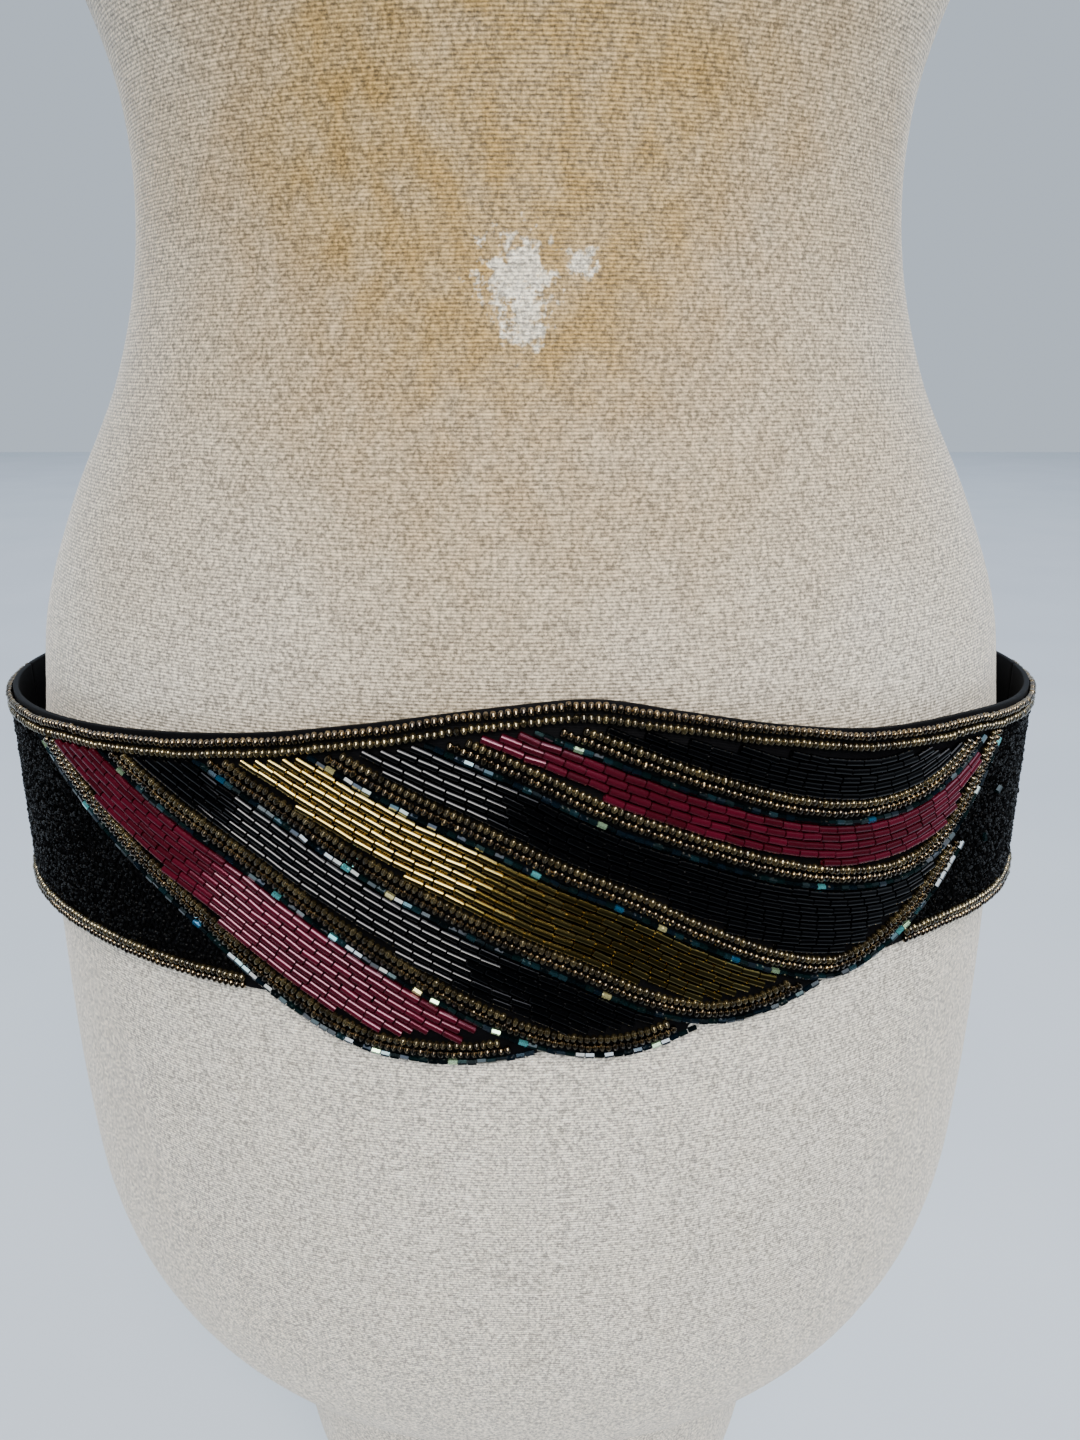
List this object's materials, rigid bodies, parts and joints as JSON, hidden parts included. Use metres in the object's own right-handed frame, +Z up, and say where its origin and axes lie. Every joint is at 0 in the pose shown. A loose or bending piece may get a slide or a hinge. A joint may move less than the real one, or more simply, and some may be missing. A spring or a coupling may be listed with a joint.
{
  "type": "beaded belt on dress form",
  "caption": "Hip belt of dark cloth with swooping bands of glass beads, fastened at the back of a limbless velvet form on a round stand.",
  "frame": {"origin": "centre of the stand base's underside, on the surface that the stand rests on", "axes": "+Z up along the form's height; -Y towards the belt's front; +X towards the wearer's left"},
  "size_m": [0.3734, 0.3, 0.802],
  "materials": {
    "velvet": "crushed stretch velvet",
    "stand_steel": "satin black",
    "charcoal_cloth": "closely woven satin",
    "black_beads": "opaque black glass, glossy",
    "burgundy_beads": "lined burgundy glass, glossy",
    "gold_beads": "silver-lined gold glass, glossy",
    "bronze_beads": "bronze metallic glass, glossy",
    "fastener_tape": "woven hook-and-loop tape"
  },
  "bodies": {
    "root": {"stand_base": "stand_steel", "stand_pole": "stand_steel", "velvet_form": "velvet", "front_panel": "charcoal_cloth", "back_panel_left": "charcoal_cloth", "back_panel_right": "charcoal_cloth", "top_border": "bronze_beads", "bottom_border_left": "bronze_beads", "bottom_border_right": "bronze_beads", "hook_tape": "fastener_tape", "loop_tape": "fastener_tape", "band_a_bugles": "burgundy_beads", "band_a_edging": "bronze_beads", "band_b_bugles": "black_beads", "band_b_edging": "bronze_beads", "band_c_bugles": "gold_beads", "band_c_edging": "bronze_beads", "band_d_bugles": "black_beads", "band_d_edging": "bronze_beads", "band_e_bugles": "burgundy_beads", "band_e_edging": "bronze_beads", "band_f_bugles": "black_beads", "band_f_edging": "bronze_beads"}
  },
  "joints": []
}
